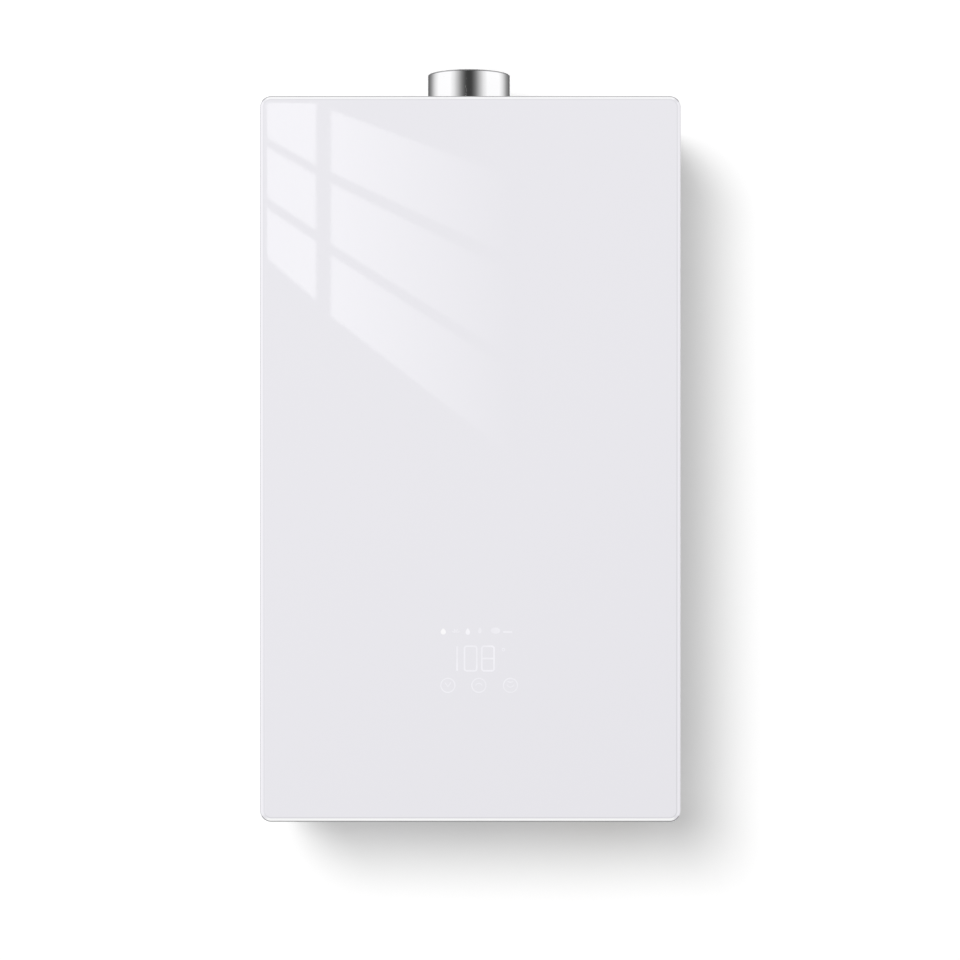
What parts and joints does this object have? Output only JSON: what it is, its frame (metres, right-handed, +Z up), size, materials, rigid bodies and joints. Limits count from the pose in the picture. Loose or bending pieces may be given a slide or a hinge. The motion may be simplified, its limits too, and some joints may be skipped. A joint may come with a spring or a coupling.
{
  "type": "tankless water heater",
  "caption": "Wall-hung tankless gas water heater with a white glass front, a steel flue collar, fan, burner, copper heat exchanger and pipe fittings under the case.",
  "frame": {"origin": "middle of the back pan's rear face, on the wall", "axes": "+Z up, +Y into the wall, the glass faces -Y, +X to the right seen from the front"},
  "size_m": [0.376, 0.16, 0.6961],
  "materials": {
    "case_paint": "powder-coated sheet steel",
    "white_glass": "clear tempered glass, back-painted pale grey-white",
    "tape": "foam bonding tape",
    "dark_plastic": "moulded",
    "pale_plastic": "moulded",
    "board": "coated circuit board",
    "dark_rubber": "moulded",
    "polished_steel": "polished stainless steel",
    "plain_steel": "satin",
    "zinc_sheet": "zinc-coated sheet",
    "copper": "copper, drawn",
    "brass": "machined",
    "cast_alloy": "die-cast",
    "ceramic": "glazed ceramic",
    "loom": "sleeved wires"
  },
  "bodies": {
    "heater": {"back_pan": "case_paint", "bottom_plate": "case_paint", "flue_collar": "polished_steel", "damper_pin": "plain_steel", "flue_adapter": "zinc_sheet", "fan_housing": "zinc_sheet", "fan_motor_plate": "zinc_sheet", "fan_motor": "plain_steel", "exhaust_hood": "zinc_sheet", "pressure_switch": "pale_plastic", "pressure_hose": "dark_rubber", "exchanger_shell": "copper", "exchanger_fins": "copper", "exchanger_tube": "copper", "chamber_shell": "copper", "chamber_coil": "copper", "sight_window": "plain_steel", "support_rails": "zinc_sheet", "burner_box": "zinc_sheet", "burner_blades": "plain_steel", "electrodes": "ceramic", "gas_manifold": "cast_alloy", "gas_nozzles": "brass", "gas_riser": "cast_alloy", "gas_valve_body": "cast_alloy", "gas_solenoids": "dark_plastic", "cold_inlet": "brass", "flow_sensor": "pale_plastic", "flow_pickup": "dark_plastic", "union_nut": "brass", "cold_pipe": "copper", "hot_pipe": "copper", "hot_outlet": "brass", "temperature_sensors": "dark_plastic", "spark_unit": "dark_plastic", "control_box": "pale_plastic", "control_board": "board", "control_lid": "pale_plastic", "fan_loom": "loom", "display_loom": "loom", "valve_loom": "loom", "cord_gland": "dark_plastic"},
    "cover": {"front_cover": "case_paint", "glass_panel": "white_glass", "panel_tape": "tape", "display_case": "dark_plastic", "display_board": "board", "display_module": "dark_plastic", "touch_springs": "dark_rubber"},
    "fan_rotor": {"fan_impeller": "plain_steel", "fan_shaft": "plain_steel"},
    "flap": {"damper_flap": "plain_steel"},
    "drain": {"drain_plug": "dark_plastic", "inlet_filter": "plain_steel"}
  },
  "joints": [
    {"name": "cover_off", "type": "slide", "parent": "heater", "child": "cover", "axis": [0, -1, 0], "range_m": [0, 0.25]},
    {"name": "fan_spin", "type": "hinge", "parent": "heater", "child": "fan_rotor", "pos_m": [0.0553, -0.073, 0.19], "axis": [0, 1, 0], "continuous": true},
    {"name": "damper_swing", "type": "hinge", "parent": "heater", "child": "flap", "pos_m": [-0.0017, -0.064, 0.3063], "axis": [-1, 0, 0], "range_deg": [0, 70]},
    {"name": "drain_pull", "type": "slide", "parent": "heater", "child": "drain", "axis": [0, 0, -1], "range_m": [0, 0.03]}
  ]
}
